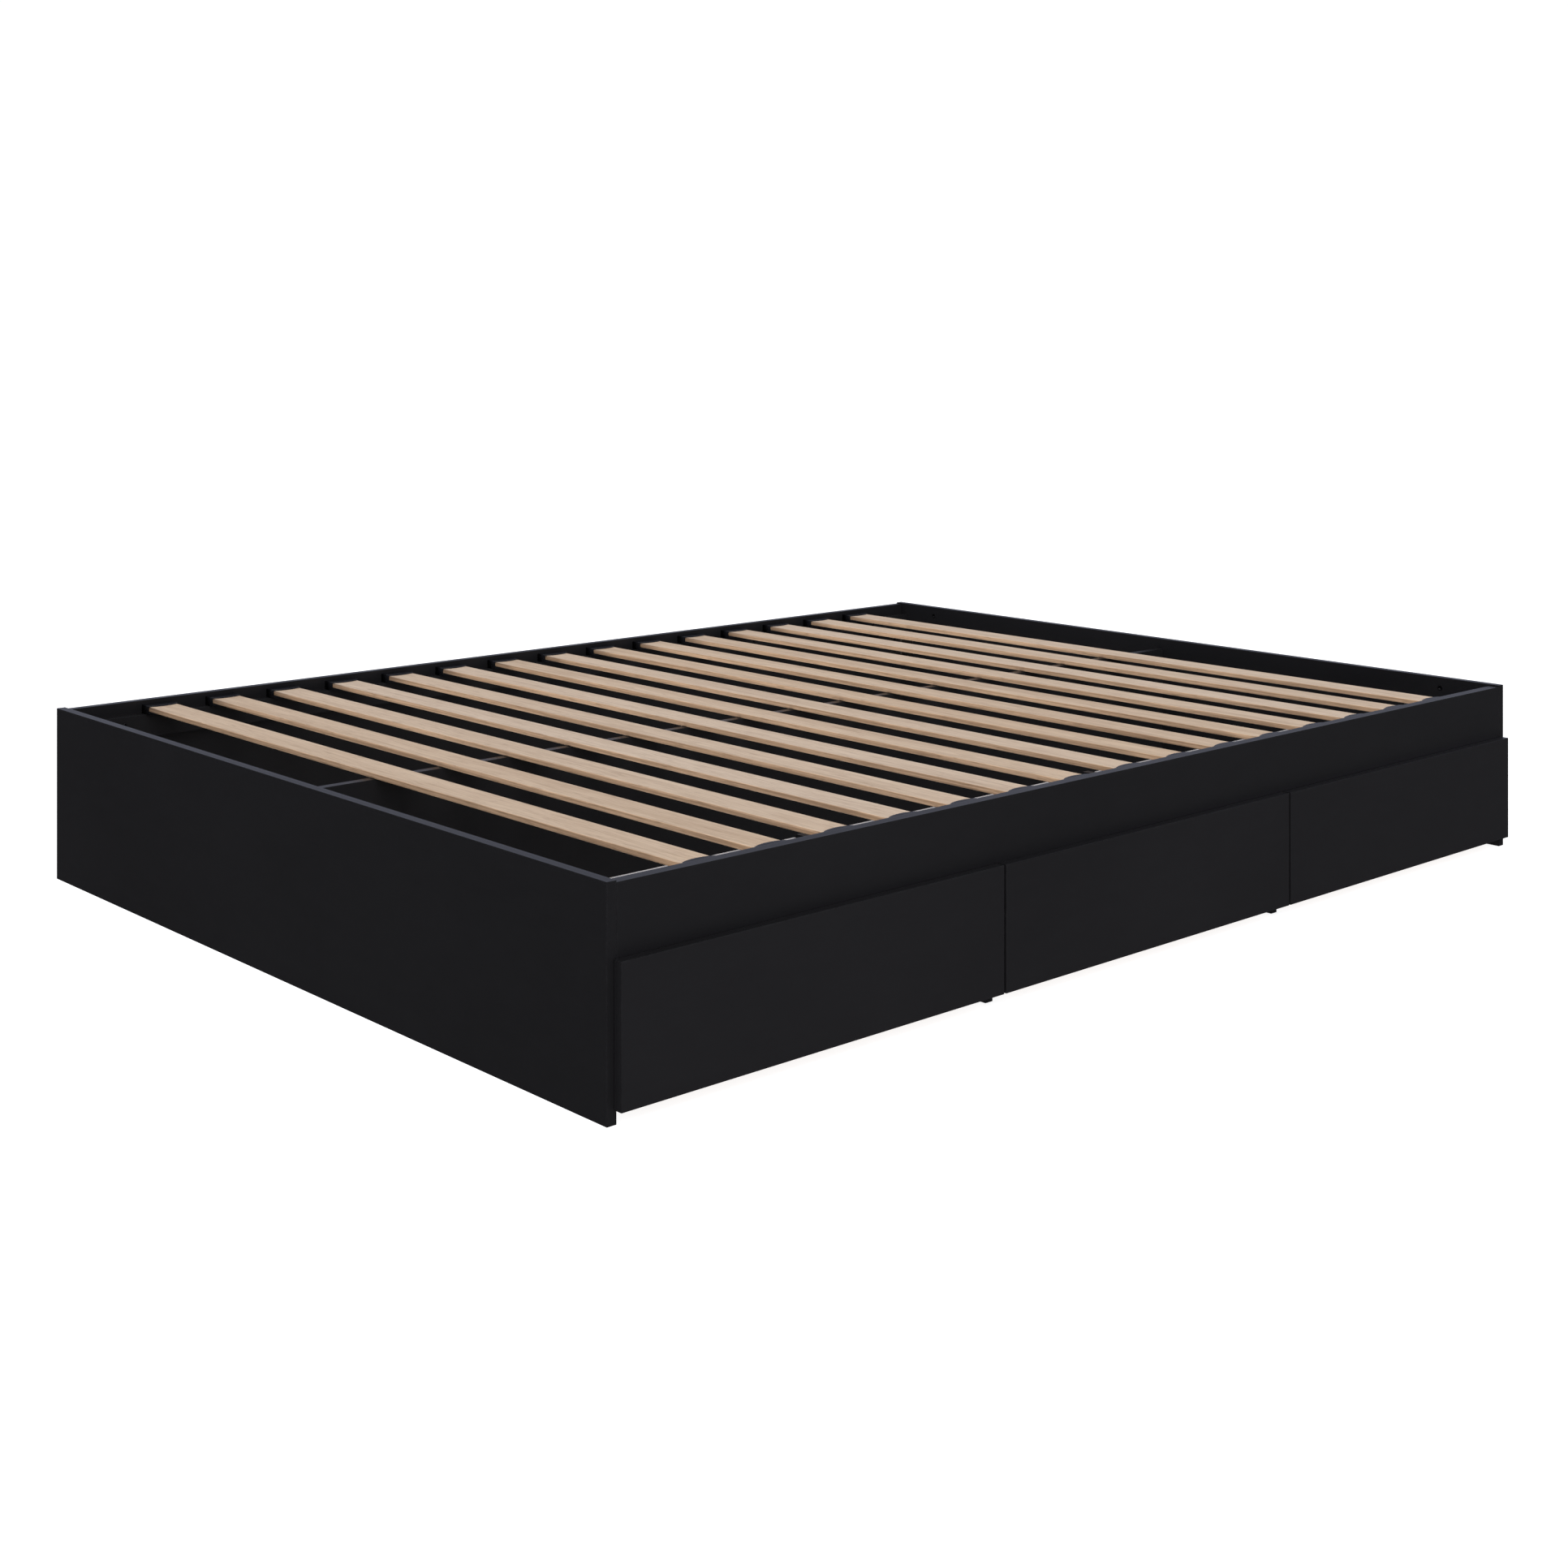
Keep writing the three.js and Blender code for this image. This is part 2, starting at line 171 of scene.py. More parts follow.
class Finish:
    """A material under construction: a Principled shader and a short way to add nodes to it."""

    def __init__(self, name):
        self.material = bpy.data.materials.new(name)
        self.material.use_nodes = True
        self.tree = self.material.node_tree
        self.shader = self.tree.nodes["Principled BSDF"]
        self.place = self.add("ShaderNodeTexCoord").outputs["Object"]

    def add(self, kind, sockets=(), **settings):
        node = self.tree.nodes.new(kind)
        for key, value in settings.items():
            setattr(node, key, value)
        for key, value in dict(sockets).items():
            self.join(value, node.inputs[key])
        return node

    def join(self, value, socket):
        if isinstance(value, bpy.types.NodeSocket):
            self.tree.links.new(value, socket)
        else:
            socket.default_value = value

    def set(self, **values):
        for key, value in values.items():
            self.join(value, self.shader.inputs[key.replace("_", " ")])

    def stretched(self, scale):
        return self.add("ShaderNodeMapping", {"Vector": self.place, "Scale": scale}).outputs[0]

    def noise(self, scale, detail, roughness, vector=None):
        place = vector or self.place
        sockets = {"Vector": place, "Scale": scale, "Detail": detail, "Roughness": roughness}
        return self.add("ShaderNodeTexNoise", sockets).outputs["Fac"]

    def ramp(self, value, low, high, out_low=0.0, out_high=1.0):
        sockets = {"Value": value, 1: low, 2: high, 3: out_low, 4: out_high}
        return self.add("ShaderNodeMapRange", sockets, clamp=True).outputs[0]

    def math(self, operation, a, b):
        return self.add("ShaderNodeMath", {0: a, 1: b}, operation=operation).outputs[0]

    def mix(self, factor, a, b):
        node = self.add("ShaderNodeMix", data_type="RGBA")
        for value, index in zip((factor, a, b), MIX_COLOUR_INPUTS):
            self.join(value, node.inputs[index])
        return node.outputs[MIX_COLOUR_OUTPUT]

    def attribute(self, name):
        return self.add("ShaderNodeAttribute", attribute_name=name).outputs["Fac"]

    def bump(self, height, strength, distance):
        sockets = {"Height": height, "Strength": strength, "Distance": distance}
        return self.add("ShaderNodeBump", sockets).outputs["Normal"]


def colour(red, green, blue):
    return (red, green, blue, 1.0)


def board_finish(name, base, worn_and_sheen, rough, specular, pore=0.05):
    """Foil or melamine on board: fine pores, a faint mottle, and edges that handling has smoothed. The
    edges are also tinted in patches towards a second colour: wear, and on the black boards a painted
    highlight that makes the rounding read lighter.
    """
    finish = Finish(name)
    mottle = finish.noise(2.2, 4.0, 0.55)
    grain = finish.noise(16.0, 3.0, 0.6, finish.stretched((1.0, 1.0, 3.0)))
    fine = finish.noise(1600.0, 2.0, 0.7)
    edge = finish.attribute("edge")
    edge_patches = finish.ramp(finish.noise(55.0, 5.0, 0.65), 0.42, 0.7)
    wear_and_sheen = finish.math("MULTIPLY", edge, edge_patches)
    dark = colour(*(channel * 0.96 for channel in base))
    light = colour(*(channel * 1.04 for channel in base))
    body = finish.mix(finish.ramp(mottle, 0.3, 0.7), dark, light)
    body = finish.mix(finish.ramp(grain, 0.35, 0.75, 0.0, 0.12), body, colour(*worn_and_sheen))
    # Edge tint: partly wear, partly a painted highlight on the rounded edges of the black boards.
    finish.set(Base_Color=finish.mix(finish.math("MULTIPLY", wear_and_sheen, 0.5), body, colour(*worn_and_sheen)))
    smooth = finish.ramp(mottle, 0.25, 0.75, rough - 0.05, rough + 0.05)
    finish.set(Roughness=finish.math("SUBTRACT", smooth, finish.math("MULTIPLY", edge, 0.06)))
    finish.set(Normal=finish.bump(fine, pore, 0.05 * MM), Specular_IOR_Level=specular)
    return finish.material


WOOD_PALE = (0.65, 0.499, 0.3455, 1.0)
WOOD_WARM = (0.521, 0.378, 0.2475, 1.0)
WOOD_GREYISH = (0.663, 0.544, 0.42, 1.0)
WOOD_FIBRE = (0.36, 0.245, 0.155, 1.0)
WOOD_STREAK = (0.32, 0.2, 0.115, 1.0)
WOOD_FLECK = (0.26, 0.165, 0.1, 1.0)
EDGE_PALE = (0.74, 0.498, 0.31, 1.0)
EDGE_WARM = (0.45, 0.283, 0.165, 1.0)
EDGE_PLY = (0.34, 0.21, 0.12, 1.0)
EDGE_FIBRE = (0.36, 0.23, 0.135, 1.0)
EDGE_FLECK = (0.26, 0.16, 0.09, 1.0)
# How often each part of the grain changes in a metre: across the slat, along it and through it.
BEND_GRAIN = (4.0, 0.6, 4.0)
BROAD_GRAIN = (38.0, 1.3, 30.0)
FIBRE_GRAIN = (330.0, 10.0, 330.0)
FLECK_GRAIN = (420.0, 26.0, 420.0)
STREAK_GRAIN = (150.0, 2.6, 260.0)
GRAIN_WANDER = 12 * MM  # how far the grain strays sideways


def slat_finish():
    """Pale laminated hardwood: long grain, short dark flecks, and plies that show on the edges."""
    finish = Finish("slat_wood")
    tone = finish.attribute("tone")
    side = finish.attribute("side")
    bend = finish.noise(3.0, 2.0, 0.5, finish.stretched(BEND_GRAIN))
    sideways = finish.ramp(bend, 0.0, 1.0, -GRAIN_WANDER, GRAIN_WANDER)
    wander = finish.add("ShaderNodeCombineXYZ", {"X": sideways}).outputs[0]
    moved = finish.add("ShaderNodeVectorMath", {0: finish.place, 1: wander}, operation="ADD").outputs[0]

    def along(scale):
        return finish.add("ShaderNodeMapping", {"Vector": moved, "Scale": scale}).outputs[0]

    broad = finish.noise(1.0, 3.0, 0.55, along(BROAD_GRAIN))
    fibre = finish.noise(1.0, 6.0, 0.75, along(FIBRE_GRAIN))
    fleck = finish.noise(1.0, 3.0, 0.6, along(FLECK_GRAIN))
    streak = finish.noise(1.0, 5.0, 0.65, along(STREAK_GRAIN))

    top = finish.mix(finish.ramp(broad, 0.32, 0.68), WOOD_PALE, WOOD_WARM)
    top = finish.mix(finish.ramp(tone, 0.0, 1.0, 0.0, 0.6), top, WOOD_GREYISH)
    top = finish.mix(finish.ramp(fibre, 0.44, 0.62, 0.0, 0.42), top, WOOD_FIBRE)
    top = finish.mix(finish.ramp(streak, 0.56, 0.7, 0.0, 0.5), top, WOOD_STREAK)
    top = finish.mix(finish.ramp(fleck, 0.57, 0.66, 0.0, 0.38), top, WOOD_FLECK)

    height = finish.add("ShaderNodeSeparateXYZ", {0: finish.place}).outputs["Z"]
    ply = finish.math("SINE", finish.math("MULTIPLY", height, 2 * math.pi / PLY), 0.0)
    edge = finish.mix(finish.ramp(streak, 0.4, 0.6), EDGE_PALE, EDGE_WARM)
    edge = finish.mix(finish.ramp(ply, 0.2, 1.0, 0.0, 0.25), edge, EDGE_PLY)
    edge = finish.mix(finish.ramp(fibre, 0.46, 0.66, 0.0, 0.45), edge, EDGE_FIBRE)
    edge = finish.mix(finish.ramp(fleck, 0.56, 0.66, 0.0, 0.45), edge, EDGE_FLECK)
    finish.set(Base_Color=finish.mix(side, top, edge))

    raised, sunk = finish.math("MULTIPLY", fibre, 0.7), finish.math("MULTIPLY", fleck, -0.5)
    relief = finish.math("ADD", raised, sunk)
    finish.set(
        Roughness=finish.ramp(fibre, 0.3, 0.8, 0.5, 0.66),
        Normal=finish.bump(relief, 0.22, 0.12 * MM),
        Specular_IOR_Level=0.35,
    )
    return finish.material


def plastic_finish(name, base, rough, specular):
    """Moulded plastic with a fine spark-eroded texture."""
    finish = Finish(name)
    texture = finish.noise(2600.0, 2.0, 0.6)
    flow = finish.noise(24.0, 3.0, 0.5)
    light = colour(*(channel * 1.25 for channel in base))
    finish.set(
        Base_Color=finish.mix(finish.ramp(flow, 0.3, 0.7), colour(*base), light),
        Roughness=finish.ramp(flow, 0.25, 0.75, rough - 0.04, rough + 0.05),
        Normal=finish.bump(texture, 0.12, 0.04 * MM),
        Specular_IOR_Level=specular,
    )
    return finish.material


def metal_finish(name, base, rough, stretch=(6.0, 900.0, 900.0)):
    """Plated steel: rolling marks in one direction, a cloudy plating and duller patches."""
    finish = Finish(name)
    rolled = finish.noise(1.0, 3.0, 0.6, finish.stretched(stretch))
    cloud = finish.noise(90.0, 4.0, 0.6)
    dull = colour(*(channel * 0.72 for channel in base))
    finish.set(
        Base_Color=finish.mix(finish.ramp(cloud, 0.35, 0.7), colour(*base), dull),
        Roughness=finish.ramp(cloud, 0.3, 0.7, rough - 0.06, rough + 0.12),
        Metallic=1.0,
        Normal=finish.bump(rolled, 0.1, 0.03 * MM),
    )
    return finish.material


HARDBOARD_DARK = (0.2, 0.115, 0.06, 1.0)
HARDBOARD_LIGHT = (0.25, 0.15, 0.085, 1.0)
HARDBOARD_FIBRE = (0.12, 0.065, 0.035, 1.0)


def hardboard_finish():
    """The raw underside of the drawer bottoms: brown pressed fibre."""
    finish = Finish("raw_hardboard")
    fibre = finish.noise(700.0, 5.0, 0.75)
    patch = finish.noise(9.0, 3.0, 0.5)
    base = finish.mix(finish.ramp(patch, 0.3, 0.7), HARDBOARD_DARK, HARDBOARD_LIGHT)
    finish.set(
        Base_Color=finish.mix(finish.ramp(fibre, 0.4, 0.7, 0.0, 0.4), base, HARDBOARD_FIBRE),
        Roughness=0.78,
        Normal=finish.bump(fibre, 0.3, 0.1 * MM),
    )
    return finish.material


BLACK = (0.0089, 0.0087, 0.0095)
# Lighter edge colour of the black boards: partly wear, partly a painted highlight on their rounded
# edges.
BLACK_WORN_AND_SHEEN = (0.014, 0.014, 0.015)
BLACK_FRONT = (0.0098, 0.0095, 0.0104)
black_face = board_finish("black_foil", BLACK, BLACK_WORN_AND_SHEEN, 0.32, 0.17)
black_band = board_finish("black_edge_band", BLACK, BLACK_WORN_AND_SHEEN, 0.3, 0.17)
front_face = board_finish("black_front_foil", BLACK_FRONT, BLACK_WORN_AND_SHEEN, 0.34, 0.17)
white_face = board_finish("white_melamine", (0.7, 0.7, 0.71), (0.62, 0.6, 0.57), 0.5, 0.4, 0.08)
white_band = board_finish("white_edge_band", (0.72, 0.72, 0.73), (0.6, 0.58, 0.55), 0.42, 0.4, 0.03)
hardboard = hardboard_finish()
slat_wood = slat_finish()
cap_plastic = plastic_finish("cap_plastic", (0.008, 0.008, 0.0095), 0.18, 0.11)
bumper_rubber = plastic_finish("bumper_rubber", (0.32, 0.33, 0.34), 0.5, 0.4)
slide_steel = metal_finish("slide_zinc_steel", (0.62, 0.63, 0.66), 0.32)
cam_steel = metal_finish("cam_zinc_steel", (0.6, 0.61, 0.63), 0.3, (400.0, 400.0, 400.0))
sleeve_steel = metal_finish("sleeve_black_steel", (0.014, 0.014, 0.015), 0.45, (400.0, 400.0, 400.0))
bracket_steel = metal_finish("bracket_dark_steel", (0.14, 0.125, 0.115), 0.42, (40.0, 40.0, 900.0))
screw_steel = metal_finish("screw_black_steel", (0.02, 0.02, 0.022), 0.45, (300.0, 300.0, 300.0))

# ---- mesh building ----------------------------------------------------------------


def finished(name, bm, materials, smooth=True):
    """Writes a bmesh to an object, with weighted normals where its edges are rounded."""
    bmesh.ops.recalc_face_normals(bm, faces=bm.faces[:])
    mesh = bpy.data.meshes.new(name)
    bm.to_mesh(mesh)
    bm.free()
    for material in materials:
        mesh.materials.append(material)
    obj = bpy.data.objects.new(name, mesh)
    bpy.context.scene.collection.objects.link(obj)
    if smooth:
        mesh.shade_smooth()
        weighted = obj.modifiers.new("weighted_normals", "WEIGHTED_NORMAL")
        weighted.keep_sharp = True
    return obj


def place(obj, body, slot, *nodes):
    """Puts a finished piece on its body and hides the CAD nodes that it stands for. slot is not used."""
    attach(obj, body)
    if nodes:
        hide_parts(*nodes)
    return obj


def add_outline(bm, points):
    return bm.faces.new([bm.verts.new(point) for point in points])


def extrude(bm, face, along):
    grown = bmesh.ops.extrude_face_region(bm, geom=[face])
    verts = [item for item in grown["geom"] if isinstance(item, bmesh.types.BMVert)]
    bmesh.ops.translate(bm, verts=verts, vec=along)


def add_box(bm, low, high):
    corners = [(low.x, low.y), (high.x, low.y), (high.x, high.y), (low.x, high.y)]
    extrude(bm, add_outline(bm, [(x, y, low.z) for x, y in corners]), Vector((0, 0, high.z - low.z)))


def carve(obj, cutters):
    """Cuts boxes or rods, built in one bmesh, out of a piece."""
    bmesh.ops.recalc_face_normals(cutters, faces=cutters.faces[:])
    mesh = bpy.data.meshes.new("cutter")
    cutters.to_mesh(mesh)
    cutters.free()
    tool = bpy.data.objects.new("cutter", mesh)
    bpy.context.scene.collection.objects.link(tool)
    cut = obj.modifiers.new("cut", "BOOLEAN")
    cut.operation = "DIFFERENCE"
    cut.solver = "EXACT"
    cut.object = tool
    if len(obj.modifiers) > 1:
        obj.modifiers.move(len(obj.modifiers) - 1, 0)
    with bpy.context.temp_override(object=obj, active_object=obj):
        bpy.ops.object.modifier_apply(modifier="cut")
    bpy.data.objects.remove(tool)
    bpy.data.meshes.remove(mesh)


def thin_axis(low, high):
    size = high - low
    return min(range(3), key=lambda axis: size[axis])


def board(name, outline, axis, thickness, faces, bands, arris=ARRIS):
    """A banded board: outline extruded along an axis, edges rounded, and a rim loop beside each edge.

    The point attribute `edge` is 1 on the rounding and 0 inside the rims.
    """
    bm = bmesh.new()
    along = Vector((0, 0, 0))
    along[axis] = thickness
    extrude(bm, add_outline(bm, outline), along)
    bmesh.ops.bevel(
        bm,
        geom=bm.edges[:],
        offset=arris,
        segments=ARRIS_STEPS,
        profile=0.5,
        affect="EDGES",
        clamp_overlap=True,
    )
    bm.normal_update()
    span = min(RIM, thickness * RIM_SHARE)
    flat = [face for face in bm.faces if face.calc_area() > 40 * arris * arris and is_flat(face)]
    large = [face for face in flat if is_roomy(face, span)]
    broad = {face for face in large if abs(face.normal[axis]) > 0.9}
    for face in bm.faces:
        face.material_index = 0 if face in broad else 1
    bmesh.ops.inset_individual(bm, faces=large, thickness=span, use_even_offset=True)
    edge = bm.verts.layers.float.new("edge")
    for vert in bm.verts:
        vert[edge] = 1.0
    for face in large:
        for vert in face.verts:
            vert[edge] = 0.0
    return finished(name, bm, [faces, bands])


def is_flat(face):
    """True on a face square to an axis, so on a board's own faces and not on its rounding."""
    return max(abs(part) for part in face.normal) > 0.999


def is_roomy(face, span):
    """True on a face that holds a rim loop: an outline with steps, or a wide enough rectangle."""
    return len(face.verts) > 4 or min(edge.calc_length() for edge in face.edges) > 2.2 * span


def box_outline(low, high, axis):
    """The rectangle at a box's low side along the axis."""
    across, up = [index for index in range(3) if index != axis]
    points = []
    for far_across, far_up in ((0, 0), (1, 0), (1, 1), (0, 1)):
        point = low.copy()
        point[across] = high[across] if far_across else low[across]
        point[up] = high[up] if far_up else low[up]
        points.append(point)
    return points


def box_board(node, faces, bands, arris=ARRIS):
    """A banded board that fills a CAD node's box."""
    low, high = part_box(node)
    axis = thin_axis(low, high)
    thickness = high[axis] - low[axis]
    return board(f"{node}_board", box_outline(low, high, axis), axis, thickness, faces, bands, arris)


def lathe(bm, profile, steps, matrix):
    """Turns (radius, height) points round Z into closed faces, then places them."""
    rings = []
    for radius, height in profile:
        if radius < TINY:
            rings.append([bm.verts.new((0, 0, height))])
            continue
        turn = [2 * math.pi * step / steps for step in range(steps)]
        rings.append([bm.verts.new((radius * math.cos(a), radius * math.sin(a), height)) for a in turn])
    for lower, upper in zip(rings, rings[1:]):
        for step in range(steps):
            after = (step + 1) % steps
            corners = [lower[step % len(lower)], lower[after % len(lower)]]
            corners += [upper[after % len(upper)], upper[step % len(upper)]]
            loop = list(dict.fromkeys(corners))
            if len(loop) > 2:
                bm.faces.new(loop)
    bmesh.ops.transform(bm, matrix=matrix, verts=[vert for ring in rings for vert in ring])


def facing(origin, direction):
    """The matrix that puts local Z on a direction at a point."""
    return Matrix.Translation(origin) @ Vector(direction).to_track_quat("Z", "Y").to_matrix().to_4x4()


def rod(bm, origin, direction, length, radius):
    """A plain cylinder from origin along a direction."""
    profile = [(0, 0), (radius, 0), (radius, length), (0, length)]
    lathe(bm, profile, ROUND_STEPS, facing(origin, direction))


# ---- fasteners -------------------------------------------------------------------------


def add_screw(bm, origin, direction, radius=SCREW_RADIUS):
    """A pan head with a cross recess, standing on the surface at origin."""
    height = 0.55 * radius
    dome = [(radius, 0), (radius, 0.25 * radius), (0.9 * radius, 0.42 * radius), (0.66 * radius, height)]
    start = len(bm.verts)
    lathe(bm, [(0, 0)] + dome, SMALL_STEPS, Matrix.Identity(4))
    bm.verts.ensure_lookup_table()
    add_cross_recess(bm, bm.verts[len(bm.verts) - SMALL_STEPS :], radius, height)
    bm.verts.ensure_lookup_table()
    bmesh.ops.transform(bm, matrix=facing(origin, direction), verts=bm.verts[start:])


def add_cross_recess(bm, rim, radius, height):
    """Closes a screw head's open top, inside its last ring of points, with a cross sunk into it."""
    arm, half = 0.46 * radius, 0.13 * radius
    quarter = [(arm, -half), (arm, half), (half, half)]
    cross = []
    for turn in range(4):
        spin = Matrix.Rotation(turn * math.pi / 2, 3, "Z")
        cross += [spin @ Vector((x, y, height)) for x, y in quarter]
    inner = [bm.verts.new(point) for point in cross]
    loops = [bm.edges.new((a, b)) for a, b in zip(inner, inner[1:] + inner[:1])]
    ring = [bm.edges.get((a, b)) for a, b in zip(rim, rim[1:] + rim[:1])]
    bmesh.ops.triangle_fill(bm, use_beauty=True, edges=loops + ring)
    floor = [bm.verts.new((vert.co.x * 0.8, vert.co.y * 0.8, 0.2 * radius)) for vert in inner]
    for index, vert in enumerate(inner):
        after = (index + 1) % len(inner)
        bm.faces.new((vert, inner[after], floor[after], floor[index]))
    bm.faces.new(floor)


def add_cam(bm, origin, direction, radius=CAM_RADIUS):
    """A cam lock, nearly flush in its board: a ring, a dished middle and a hole for the driver."""
    profile = [
        (0, -1.0 * MM),
        (radius, -1.0 * MM),
        (radius, 0.25 * MM),
        (radius * 0.93, 0.4 * MM),
        (radius * 0.8, 0.4 * MM),
        (radius * 0.74, 0.1 * MM),
        (radius * 0.3, 0.05 * MM),
        (radius * 0.24, -0.7 * MM),
        (0, -0.7 * MM),
    ]
    lathe(bm, profile, ROUND_STEPS, facing(origin, direction))


def fasteners(name, body, slot, material, places, make):
    """All the fasteners of one kind on one body, as one piece. places holds (origin, direction)."""
    bm = bmesh.new()
    for origin, direction in places:
        make(bm, origin, direction)
    return place(finished(name, bm, [material], smooth=False), body, slot)


# ---- frame boards -----------------------------------------------------------------------


def make_frame_boards():
    for node in PLAIN_BOARDS:
        place(box_board(node, black_face, black_band), FRAME_BODY, "black_board", node)


def make_head_panel():
    panel = box_board("head_panel", black_face, black_band)
    cutters = bmesh.new()
    for node in SLEEVES:
        low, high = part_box(node)
        hole = (high.z - low.z) / 2 + SLEEVE_AIR
        middle = (low + high) / 2
        start = Vector((low.x - PAST, middle.y, middle.z))
        rod(cutters, start, (1, 0, 0), high.x - low.x + 2 * PAST, hole)
    carve(panel, cutters)
    place(panel, FRAME_BODY, "black_board", "head_panel")


def make_headboard_sleeves():
    """Threaded sleeves, flush with the panel, each with a countersunk mouth and turns of thread."""
    chamfer, root = SLEEVE_CHAMFER, SLEEVE_BORE + THREAD_DEPTH
    for node in SLEEVES:
        low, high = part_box(node)
        middle = (low + high) / 2
        radius, length = (high.z - low.z) / 2, high.x - low.x
        profile = [(radius - chamfer, 0), (radius, chamfer), (radius, length - chamfer)]
        profile += [(radius - chamfer, length), (root + chamfer, length)]
        for turn in range(int(length / THREAD_PITCH), 0, -1):
            profile += [(root, (turn - 0.1) * THREAD_PITCH), (SLEEVE_BORE, (turn - 0.5) * THREAD_PITCH)]
        profile += [(root, 0), (radius - chamfer, 0)]
        bm = bmesh.new()
        lathe(bm, profile, ROUND_STEPS, facing(Vector((high.x, middle.y, middle.z)), (-1, 0, 0)))
        bmesh.ops.remove_doubles(bm, verts=bm.verts[:], dist=TINY)
        sleeve = finished(f"{node}_sleeve", bm, [sleeve_steel], smooth=False)
        place(sleeve, FRAME_BODY, "dark_steel", node)


def make_dividers():
    """A low board between two drawers, with an ear that stands behind the front rail."""
    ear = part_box("front_rail")[1].y
    for node in ("divider_1", "divider_2"):
        low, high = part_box(node)
        corners = [
            (low.y, low.z),
            (high.y, low.z),
            (high.y, DIVIDER_STEP),
            (ear + DIVIDER_EAR, DIVIDER_STEP),
            (ear + DIVIDER_EAR, high.z),
            (ear, high.z),
            (ear, DIVIDER_STEP),
            (low.y, DIVIDER_STEP),
        ]
        outline = [Vector((low.x, y, z)) for y, z in corners]
        piece = board(f"{node}_board", outline, 0, high.x - low.x, black_face, black_band)
        place(piece, FRAME_BODY, "black_board", node)


def bracket_plan(leg):
    """A bracket from above, with its corner at the origin and its legs along +X and +Y."""
    sheet, bend = BRACKET_SHEET, BRACKET_BEND
    plan = [(0, 0), (leg, 0), (leg, sheet), (sheet + bend, sheet)]
    for step in range(1, BRACKET_BEND_STEPS):
        angle = math.pi / 2 * step / BRACKET_BEND_STEPS
        plan.append((sheet + bend * (1 - math.sin(angle)), sheet + bend * (1 - math.cos(angle))))
    return plan + [(sheet, sheet + bend), (sheet, leg), (0, leg)]


def make_bracket(node):
    """One pressed angle with a rounded inner bend. Returns its four screws' (origin, direction)."""
    low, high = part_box(node)
    head_end, back_side = "head" in node, "back" in node
    corner = Vector((high.x if head_end else low.x, high.y if back_side else low.y, low.z))
    way_x, way_y = (-1 if head_end else 1), (-1 if back_side else 1)
    leg = high.x - low.x
    outline = [corner + Vector((way_x * a, way_y * b, 0)) for a, b in bracket_plan(leg)]
    bm = bmesh.new()
    extrude(bm, add_outline(bm, outline), Vector((0, 0, high.z - low.z)))
    ends = [edge for edge in bm.edges if is_bracket_tip(edge, corner, leg)]
    bmesh.ops.bevel(bm, geom=ends, offset=BRACKET_TIP, segments=4, profile=0.5, affect="EDGES")
    sharp = [edge for edge in bm.edges if edge.calc_face_angle(0) > 0.6]
    bmesh.ops.bevel(bm, geom=sharp, offset=BRACKET_ARRIS, segments=2, profile=0.5, affect="EDGES")
    place(finished(f"{node}_angle", bm, [bracket_steel]), FRAME_BODY, "dark_steel", node)
    screws = []
    far, sheet = leg * BRACKET_SCREW_OUT, BRACKET_SHEET
    for part in BRACKET_SCREW_PARTS:
        up = (high.z - low.z) * part
        screws.append((corner + Vector((way_x * far, way_y * sheet, up)), (0, way_y, 0)))
        screws.append((corner + Vector((way_x * sheet, way_y * far, up)), (way_x, 0, 0)))
    return screws


def make_brackets():
    """The four corner brackets, and all their screws as one piece."""
    screws = []
    for node in sorted(name for name in frame["nodes"] if name.startswith("bracket_")):
        screws += make_bracket(node)
    fasteners("bracket_screws", FRAME_BODY, "dark_steel", screw_steel, screws, add_screw)


def is_bracket_tip(edge, corner, leg):
    """True on the short level edges across the sheet at the far end of either leg."""
    first, second = (vert.co for vert in edge.verts)
    if abs(first.z - second.z) > TINY or (first - second).length > BRACKET_SHEET + 0.5 * MM:
        return False
    reach = [max(abs(point.x - corner.x), abs(point.y - corner.y)) for point in (first, second)]
    return min(reach) > leg - 0.1 * MM


def make_ledger_screws():
    """Screws through both ledgers, one every few slats."""
    first, second = (sum(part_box(node), Vector()).x / 2 for node in SLATS[:2])
    steps = range(0, len(SLATS) + 1, LEDGER_SCREW_STEP)
    screws = []
    for node, way in (("ledger_front", 1), ("ledger_back", -1)):
        low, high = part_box(node)
        face = high.y if way > 0 else low.y
        height = (low.z + high.z) / 2 + LEDGER_SCREW_RISE
        for step in steps:
            x = first - LEDGER_SCREW_LEAD + step * (second - first)
            screws.append((Vector((x, face, height)), (0, way, 0)))
    fasteners("ledger_screws", FRAME_BODY, "dark_steel", screw_steel, screws, add_screw)


def make_cam_covers():
    """Covered cam locks at the ends of the lengthwise boards."""
    cams = []
    for node, ways, heights in (
        ("centre_beam", (-1, 1), BEAM_CAM_HEIGHTS),
        ("side_panel", (-1,), SIDE_CAM_HEIGHTS),
        ("rear_tie", (1,), TIE_CAM_HEIGHTS),
    ):
        low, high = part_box(node)
        for way in ways:
            face = high.y if way > 0 else low.y
            for x in (low.x + CAM_INSET, high.x - CAM_INSET):
                cams += [(Vector((x, face, z)), (0, way, 0)) for z in heights]
    fasteners("frame_cam_covers", FRAME_BODY, "black_plastic", cap_plastic, cams, add_cam)


# ---- slat base ------------------------------------------------------------------------------


